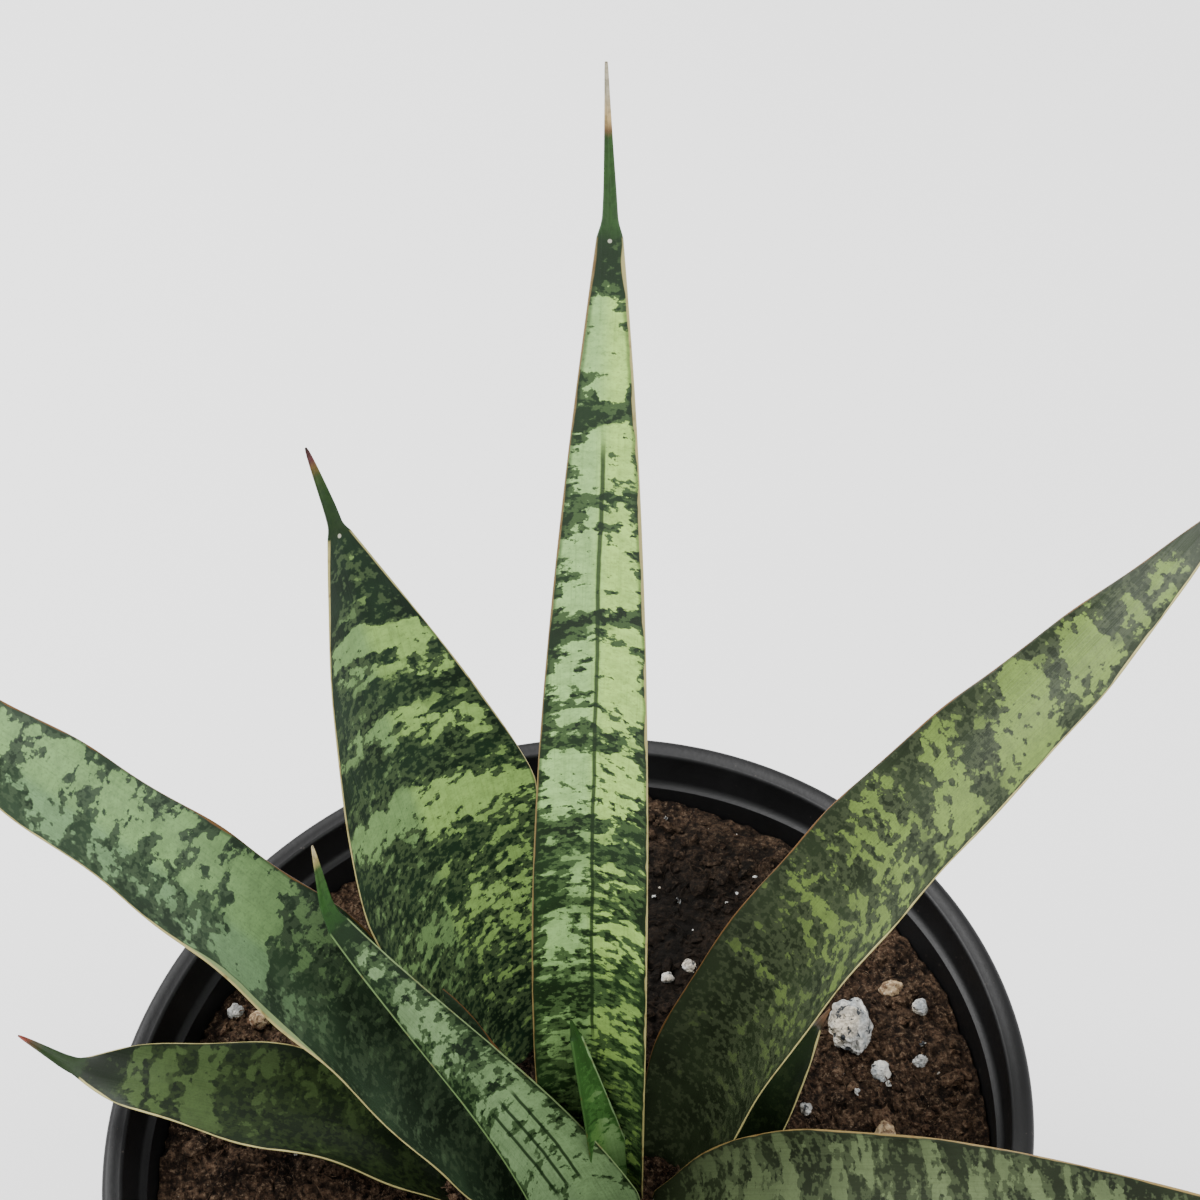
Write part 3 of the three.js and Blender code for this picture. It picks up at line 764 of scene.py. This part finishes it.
def leaf_scar(s, color):
    """The pale dot where the blade meets the awn, on the leaves that have one."""
    radius = s.leaf["dot"]
    if not radius:
        return color
    offset = s.point(s.across, s.plus(s.along, -s.leaf["length"]))
    away = s.node("ShaderNodeVectorMath", {0: offset}, operation="LENGTH").outputs["Value"]
    return s.blend(color, SCAR, s.step(away, radius * 1.2, radius * 0.7), 0.8)


def leaf_material(leaf):
    s = LeafSkin(leaf)
    broad, level = leaf_lightness(s)
    color = s.mix(s.step(level, 0.465, 0.54), leaf_ground(s, level), leaf_pale(s, broad))
    fibres = leaf_fibres(s)
    color = s.blend(color, leaf["dark"], s.step(fibres, 0.52, 0.68), 0.14)
    color = leaf_scar(s, leaf_tip(s, leaf_margin(s, leaf_veins(s, color))))
    fine = s.noise(s.skin(offset=8), 3, 4, 0.6)
    relief = s.plus(s.times(fibres, 0.7), s.times(fine, 0.3))
    roughness = s.plus(s.times(fine, 0.2), 0.34)
    return s.finish(color, roughness, s.bump(relief, 0.35, 0.0003), gloss=0.16)


# ---------------- other materials
# Noise scales are in cells per metre, and bump distances in metres.
def pot_material():
    """Black plastic with a fine grain, faint smears and a little dust."""
    s = Shader("pot_black_plastic")
    place = s.place()
    grain = s.noise(place, 900, 3, 0.6)
    smear = s.noise(place, 28, 4, 0.6, 0.6)
    dust = s.step(s.noise(place, 620, 2, 0.7), 0.7, 0.78)
    color = s.mix(s.step(smear, 0.35, 0.75), PLASTIC["dark"], PLASTIC["smeared"])
    color = s.blend(color, PLASTIC["dust"], dust, 0.3)
    roughness = s.plus(s.plus(s.times(smear, 0.2), s.times(grain, 0.1)), 0.34)
    return s.finish(color, roughness, s.bump(grain, 0.25, 0.0002), gloss=0.26)


def soil_material():
    """Peat in dark and light clumps, with dry bits and flecks, and painted shade in the gaps, in the
    cracks and behind the crown.
    """
    s = Shader("soil_peat")
    place = s.place()
    clumps = s.noise(place, 170, 5, 0.68)
    fine = s.noise(place, 1150, 5, 0.75)
    flecks = s.noise(place, 1900, 3, 0.65)
    color = s.mix(s.step(clumps, 0.4, 0.62), PEAT["dark"], PEAT["light"])
    color = s.blend(color, PEAT["rusty"], s.value("of_tint"), 0.5)
    color = s.blend(color, PEAT["dry"], s.step(fine, 0.53, 0.63), 0.7)
    # Painted shade: near-black in the low spots of the fine relief, the gaps between the crumbs.
    color = s.blend(color, PEAT["gap"], s.step(fine, 0.49, 0.4), 0.85)
    color = s.blend(color, PEAT["fleck"], s.step(flecks, 0.64, 0.72), 0.5)
    # Painted shade: darker along the cracks of the soil's relief.
    color = s.blend(color, PEAT["crack_shade"], s.value("of_crack_shade"), 0.8)
    # Painted shade: the soil behind the crown is darkened where the leaves and the pot wall shade it.
    color = s.blend(color, PEAT["rear_shade"], s.value("of_rear_shade"), 0.9)
    height = s.plus(s.times(clumps, 0.5), s.plus(fine, s.times(flecks, 0.4)))
    roughness = s.plus(s.times(fine, 0.2), 0.78)
    return s.finish(color, roughness, s.bump(height, 1, 0.0011), gloss=0.1)


def perlite_material():
    """White foamed grains, warm or shaded in places, with stains and dark holes."""
    s = Shader("perlite_white")
    place = s.place()
    pits = s.cells(place, 1300)
    soft = s.noise(place, 420, 4, 0.7)
    warm = s.step(s.noise(place, 130, 2), 0.5, 0.6)
    stain = s.step(s.noise(place, 260, 4, 0.7), 0.52, 0.6)
    hole = s.step(s.noise(place, 620, 3, 0.6), 0.57, 0.63)
    color = s.mix(s.step(soft, 0.3, 0.7), PERLITE["shaded"], PERLITE["white"])
    color = s.blend(color, PERLITE["warm"], warm, 0.6)
    color = s.blend(color, PERLITE["stain"], stain, 0.55)
    color = s.mix(hole, color, PERLITE["hole"])
    height = s.plus(pits, s.times(soft, 0.8))
    roughness = s.plus(s.times(soft, 0.2), 0.75)
    return s.finish(color, roughness, s.bump(height, 0.9, 0.0006), gloss=0.2)


def bark_material():
    """Tan bark in twisted layers, worn pale in spots."""
    s = Shader("bark_tan")
    place = s.place()
    layers = s.noise(place, 380, 5, 0.7, 1.4)
    fine = s.noise(place, 1500, 3, 0.6)
    color = s.mix(s.step(layers, 0.38, 0.6), BARK["dark"], BARK["light"])
    color = s.blend(color, BARK["worn"], s.step(fine, 0.55, 0.68), 0.6)
    roughness = s.plus(s.times(fine, 0.2), 0.7)
    return s.finish(color, roughness, s.bump(layers, 0.8, 0.0006), gloss=0.2)


def rhizome_material():
    """Orange flesh with darker rings and some dirt."""
    s = Shader("rhizome_flesh")
    place = s.place()
    rings = s.noise(place, 120, 4, 0.6, 1)
    fine = s.noise(place, 900, 3)
    color = s.mix(s.step(rings, 0.35, 0.65), RHIZOME["ring"], RHIZOME["flesh"])
    color = s.blend(color, RHIZOME["dirt"], fine, 0.4)
    roughness = s.plus(s.times(fine, 0.2), 0.6)
    return s.finish(color, roughness, s.bump(rings, 0.6, 0.0008), gloss=0.3)


def floor_material():
    s = Shader("studio_floor")
    place = s.place()
    cloud = s.noise(place, 6, 3)
    grain = s.noise(place, 400, 3)
    color = s.mix(cloud, STUDIO["floor"], STUDIO["cloud"])
    roughness = s.plus(s.times(grain, 0.2), 0.7)
    return s.finish(color, roughness, s.bump(grain, 0.05, 0.0003), gloss=0.2)


# ---------------- pot
def arc_points(centre, radius, start, end, count):
    made = []
    for i in range(count + 1):
        angle = math.radians(start + (end - start) * i / count)
        made.append((centre[0] + radius * math.cos(angle), centre[1] + radius * math.sin(angle)))
    return made


def line_points(start, end):
    """Points up or down the pot's wall from one (radius, height) to another."""
    shares = [i / POT_STEPS_UP for i in range(POT_STEPS_UP + 1)]
    return [(between(t, (start[0], end[0])), between(t, (start[1], end[1]))) for t in shares]


def pot_profile():
    """The pot's wall as (radius, height) from the middle of the underside round to the inner floor."""
    lip_bottom = POT_HEIGHT - LIP_HEIGHT
    step_top = POT_HEIGHT - STEP_DEPTH
    wall_top = RIM_RADIUS - LIP_OVERHANG
    inner_foot = FOOT_RADIUS - WALL
    drain_band = (DRAIN_RING_RADIUS - 8, DRAIN_RING_RADIUS + 8)
    return (
        [(0, 0), (drain_band[0], 0), (drain_band[1], 0)]
        + arc_points((FOOT_RADIUS - 1.5, 1.5), 1.5, -90, -10, 5)
        + line_points((FOOT_RADIUS, 1.5), (wall_top, lip_bottom - 0.8))
        + [(wall_top + 0.3, lip_bottom - 0.1), (RIM_RADIUS - 1.2, lip_bottom)]
        + arc_points((RIM_RADIUS - 0.9, lip_bottom + 0.9), 0.9, -70, 0, 5)
        + [(RIM_RADIUS, lip_bottom + 3), (RIM_RADIUS - 0.05, POT_HEIGHT - 3)]
        + arc_points((RIM_RADIUS - 1.3, POT_HEIGHT - 1.3), 1.3, 5, 90, 8)
        + [(RIM_RADIUS - 2.4, POT_HEIGHT - 0.15)]
        + arc_points((LIP_INNER_RADIUS + 0.8, POT_HEIGHT - 1.2), 0.8, 80, 175, 5)
        + [(STEP_RADIUS + 1, step_top + 1), (STEP_RADIUS + 0.6, step_top + 0.3)]
        + [(STEP_RADIUS, step_top), (STEP_RADIUS - 0.5, step_top - 0.2)]
        + line_points((STEP_RADIUS - 0.6, step_top - 0.6), (inner_foot, FLOOR + 0.8))
        + [(inner_foot - 1.2, FLOOR), (drain_band[1], FLOOR), (drain_band[0], FLOOR), (0, FLOOR)]
    )


def spun_faces(rings, around):
    """Faces of a solid of revolution: vertices 0 and 1 are its ends on the axis, the rest rings."""
    last = 2 + (rings - 1) * around
    faces = []
    for i in range(around):
        j = (i + 1) % around
        faces.append((0, 2 + j, 2 + i))
        faces.append((1, last + i, last + j))
        for a in range(2, last, around):
            faces.append((a + i, a + j, a + around + j, a + around + i))
    return faces


def pot_shell():
    profile = pot_profile()
    vertices = [(0, 0, profile[0][1]), (0, 0, profile[-1][1])]
    for radius, z in profile[1:-1]:
        vertices += [(radius * x, radius * y, z) for x, y in directions(POT_STEPS_AROUND)]
    faces = spun_faces(len(profile) - 2, POT_STEPS_AROUND)
    return mesh_object("nursery_pot_shell", vertices, faces)


def drill(piece, place):
    """Cut one drain hole down through the pot's floor."""
    bpy.ops.mesh.primitive_cylinder_add(
        vertices=48, radius=DRAIN_RADIUS * MM, depth=3 * FLOOR * MM, location=place
    )
    cutter = bpy.context.object
    cut = piece.modifiers.new("drain", "BOOLEAN")
    cut.operation = "DIFFERENCE"
    cut.object = cutter
    cut.solver = "EXACT"
    bpy.context.view_layer.update()
    evaluated = piece.evaluated_get(bpy.context.evaluated_depsgraph_get())
    drilled = bpy.data.meshes.new_from_object(evaluated)
    piece.modifiers.clear()
    piece.data = drilled
    bpy.data.objects.remove(cutter)


def build_pot(material):
    pot = pot_shell()
    for x, y in directions(DRAIN_HOLES):
        drill(pot, (DRAIN_RING_RADIUS * x * MM, DRAIN_RING_RADIUS * y * MM, FLOOR * MM))
    pot.data.shade_smooth()
    pot.data.set_sharp_from_angle(angle=math.radians(40))
    hand_over(pot, "pot_plastic", material, "nursery_pot")


# ---------------- soil
def ripple(x, y):
    broad = math.sin(0.13 * x + 0.6) * math.cos(0.11 * y - 1.02)
    middle = math.sin(0.31 * x - 0.19 * y + 1.38)
    fine = math.cos(0.47 * y + 0.23 * x + 0.6)
    return 0.5 * broad + 0.3 * middle + 0.2 * fine


def soil_height(x, y):
    """The height of the soil's broad surface, without its clumps."""
    height = SOIL_LEVEL
    for shape in (REAR_HEAP, LEFT_HEAP, CROWN_DIP):
        height += mound(x, y, **shape)
    return height + RIPPLE_HEIGHT * ripple(x, y)


def soil_cracks(x, y):
    return abs(bump_noise(x, y, 31, CRACK_SIZE, 4))


def clumpy_height(x, y):
    lumps = bump_noise(x, y, 3, LUMP_SIZE, 5)
    return soil_height(x, y) + lumps - CRACK_DEPTH * soil_cracks(x, y) + CLUMP_LIFT


def soil_floats(places, tints, with_crack_shade=False):
    """Point attributes of the soil's skin: colour tint, painted shade behind the crown, painted shade in
    the cracks.
    """
    # Painted shade behind the crown, where the leaves and the pot wall shade the soil.
    rear_shade = [mound(x, y, **REAR_SHADE_PATCH) for x, y, _ in places]
    # Painted shade in the cracks: the pits list darkens the soil along its cracks.
    pits = [0.0] * len(places)
    if with_crack_shade:
        pits = [min(1, max(0, (soil_cracks(x, y) - 0.12) / 0.3)) for x, y, _ in places]
    return {"of_tint": tints, "of_rear_shade": rear_shade, "of_crack_shade": pits}


def pot_inner_radius(z):
    top = POT_HEIGHT - STEP_DEPTH - 0.4
    return between((z - FLOOR) / (top - FLOOR), (FOOT_RADIUS - WALL, STEP_RADIUS - 0.6))


def soil_vertices():
    """The middle of the top and of the bottom, then rings over the top and down the pot's wall."""
    bottom = FLOOR + 0.3
    edge = pot_inner_radius(SOIL_LEVEL) - 0.4
    around = directions(SOIL_STEPS_AROUND)
    vertices = [(0, 0, clumpy_height(0, 0)), (0, 0, bottom)]
    for r in range(1, SOIL_RINGS + 1):
        radius = edge * (r / SOIL_RINGS) ** 0.8
        for x, y in around:
            z = clumpy_height(radius * x, radius * y)
            reach = pot_inner_radius(z) - 0.3 if r == SOIL_RINGS else radius
            vertices.append((reach * x, reach * y, z))
    for z in (100, 70, 35, bottom):
        radius = pot_inner_radius(z) - 0.5
        vertices += [(radius * x, radius * y, z) for x, y in around]
    return vertices


def build_soil(material):
    vertices = soil_vertices()
    rings = len(vertices) // SOIL_STEPS_AROUND
    faces = [face[::-1] for face in spun_faces(rings, SOIL_STEPS_AROUND)]
    tints = [0.5 + 0.5 * noise.noise(Vector(v) / 9) for v in vertices]
    soil = mesh_object("potting_soil_body", vertices, faces, soil_floats(vertices, tints, True))
    hand_over(soil, "potting_soil", material, "potting_soil")


def lump_shape(detail):
    """The vertices and faces of a ball of radius 1."""
    work = bmesh.new()
    bmesh.ops.create_icosphere(work, subdivisions=detail, radius=1)
    places = [v.co.copy() for v in work.verts]
    faces = [[v.index for v in f.verts] for f in work.faces]
    work.free()
    return places, faces


def free_spot(rng, wall_gap):
    """A random place on the soil, clear of the wall."""
    limit = pot_inner_radius(SOIL_LEVEL) - wall_gap
    while True:
        x, y = rng.uniform(-limit, limit), rng.uniform(-limit, limit)
        if math.hypot(x, y) < limit:
            return x, y


def crumb(places, x, y, size, stretch, turn):
    """A ball's vertices made into a ragged lump that is half sunk in the soil at x, y."""
    z = clumpy_height(x, y) + 0.1 * size
    offset = Vector((x, y, z))
    vertices = []
    for p in places:
        lump = 1 + 0.7 * noise.noise(p * 1.5 + offset) + 0.5 * noise.noise(p * 3.7 + offset)
        q = Vector((p.x * stretch.x, p.y * stretch.y, p.z * stretch.z)) * (size * lump)
        vertices.append((
            x + q.x * math.cos(turn) - q.y * math.sin(turn),
            y + q.x * math.sin(turn) + q.y * math.cos(turn),
            z + q.z,
        ))
    return vertices


def build_crumbs(name, count, sizes, detail, seed, slot, material):
    """Many small ragged lumps half sunk in the soil, as one piece."""
    rng = random.Random(seed)
    places, shape = lump_shape(detail)
    vertices = []
    faces = []
    tints = []
    for _ in range(count):
        x, y = free_spot(rng, 2.5)
        size = between(rng.random() ** 3, sizes)
        stretch = Vector((rng.uniform(0.7, 1.5), rng.uniform(0.5, 1.0), rng.uniform(0.4, 0.8)))
        turn = rng.uniform(0, math.tau)
        faces += [[len(vertices) + i for i in face] for face in shape]
        vertices += crumb(places, x, y, size, stretch, turn)
        tints += [rng.random()] * len(places)
    made = mesh_object(name, vertices, faces, soil_floats(vertices, tints), smooth=False)
    hand_over(made, slot, material)


def strand(x, y, course, bend, length, radius, lift):
    """A thin tube's vertices, which starts at x, y and follows the soil in a low bent arch."""
    step_length = length / STRAND_STEPS
    vertices = []
    for k in range(STRAND_STEPS + 1):
        share = k / STRAND_STEPS
        z = clumpy_height(x, y) + 0.15 + lift * math.sin(math.pi * share)
        thin = radius * (0.25 + 0.75 * math.sin(math.pi * min(0.95, max(0.05, share))))
        for across, up in directions(STRAND_SIDES):
            sideways = thin * across
            beside = (x - sideways * math.sin(course), y + sideways * math.cos(course))
            vertices.append((*beside, z + thin * up))
        x += math.cos(course) * step_length
        y += math.sin(course) * step_length
        course += bend
    return vertices


def build_fibres(material):
    """Short bent coir strands lying on the soil, as one piece."""
    rng = random.Random(71)
    vertices = []
    faces = []
    tints = []
    for _ in range(800):
        x, y = free_spot(rng, 8)
        course = rng.uniform(0, math.tau)
        bend = rng.uniform(-0.35, 0.35)
        length = rng.uniform(2, 9)
        radius = rng.uniform(0.06, 0.18)
        lift = rng.uniform(0.1, 1.1)
        tube = tube_faces(STRAND_STEPS + 1, STRAND_SIDES)
        faces += [[len(vertices) + i for i in reversed(face)] for face in tube]
        vertices += strand(x, y, course, bend, length, radius, lift)
        tints += [rng.random()] * (len(vertices) - len(tints))
    made = mesh_object("coir_fibres", vertices, faces, soil_floats(vertices, tints))
    hand_over(made, "potting_soil", material)


def build_grain(node, slot, material, detail, rough, pits):
    """A loose grain with the place and size of its CAD node."""
    low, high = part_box(node)
    centre = (low + high) / 2 / MM
    half = (high - low) / 2 / MM
    places, shape = lump_shape(detail)
    vertices = []
    for p in places:
        q = p * 1.3 + centre
        lump = 0.93 + rough * noise.noise(q) + 0.5 * rough * noise.noise(p * 3.1 + centre)
        lump -= pits * max(0, noise.noise(p * 6.5 + centre) - 0.1)
        vertices.append([centre[k] + p[k] * half[k] * min(lump, 1.12) for k in range(3)])
    made = mesh_object(node + "_grain", vertices, shape)
    hand_over(made, slot, material, node)


# ---------------- camera, light and floor
def build_camera():
    data = bpy.data.cameras.new("camera")
    data.lens = LENS
    data.sensor_width = SENSOR_WIDTH
    data.clip_start = 0.01
    camera = bpy.data.objects.new("camera", data)
    bpy.context.scene.collection.objects.link(camera)
    tilt = math.radians(CAMERA_TILT)
    roll = math.radians(CAMERA_ROLL)
    back = Vector((0, -math.sin(tilt), math.cos(tilt)))
    level = Vector((1, 0, 0))
    up = back.cross(level)
    right = level * math.cos(roll) + up * math.sin(roll)
    above = up * math.cos(roll) - level * math.sin(roll)
    for column, axis in enumerate((right, above, back)):
        for row in range(3):
            camera.matrix_world[row][column] = axis[row]
    camera.matrix_world.translation = CAMERA_PLACE
    bpy.context.scene.camera = camera


def area_light(name, place, size, power):
    """A round soft light of a size in metres, aimed at the plant."""
    data = bpy.data.lights.new(name, "AREA")
    data.shape = "DISK"
    data.size = size
    data.energy = power
    lamp = bpy.data.objects.new(name, data)
    lamp.location = place
    aim = Vector(LIGHT_TARGET) - Vector(place)
    lamp.rotation_euler = aim.to_track_quat("-Z", "Y").to_euler()
    bpy.context.scene.collection.objects.link(lamp)


def build_studio(material):
    bpy.ops.mesh.primitive_plane_add(size=FLOOR_SIZE, location=(0, 0, -FLOOR_DROP))
    floor = bpy.context.object
    floor.name = "floor"
    paint(floor, material)
    area_light("window_soft", (-0.7, 0.5, 1.3), size=1.1, power=40)
    area_light("fill_soft", (0.9, -0.5, 1.1), size=1.0, power=15)
    world = bpy.data.worlds.new("studio_air")
    bpy.context.scene.world = world
    world.use_nodes = True
    air = world.node_tree.nodes["Background"].inputs
    air["Color"].default_value = STUDIO["air"]
    air["Strength"].default_value = AIR_STRENGTH


# ---------------- assembly
def build_potting_mix():
    """The soil with its crumbs and fibres, the perlite and the bark."""
    peat = soil_material()
    perlite = perlite_material()
    bark = bark_material()
    build_soil(peat)
    build_crumbs("soil_crumbs", 1700, (0.6, 2.0), 2, seed=11, slot="potting_soil", material=peat)
    build_crumbs("soil_fines", 7000, (0.2, 0.75), 1, seed=47, slot="potting_soil", material=peat)
    build_crumbs("perlite_specks", 210, (0.25, 1.0), 2, seed=23, slot="perlite", material=perlite)
    build_fibres(peat)
    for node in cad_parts:
        if node.startswith("perlite_grain"):
            build_grain(node, "perlite", perlite, detail=5, rough=0.26, pits=0.25)
        if node.startswith("bark_chip"):
            build_grain(node, "bark", bark, detail=4, rough=0.3, pits=0.2)


for leaf in LEAVES:
    build_leaf(leaf, leaf_material(leaf))
build_pot(pot_material())
build_potting_mix()
paint(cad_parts["rhizome_with_roots"], rhizome_material())
build_studio(floor_material())
build_camera()
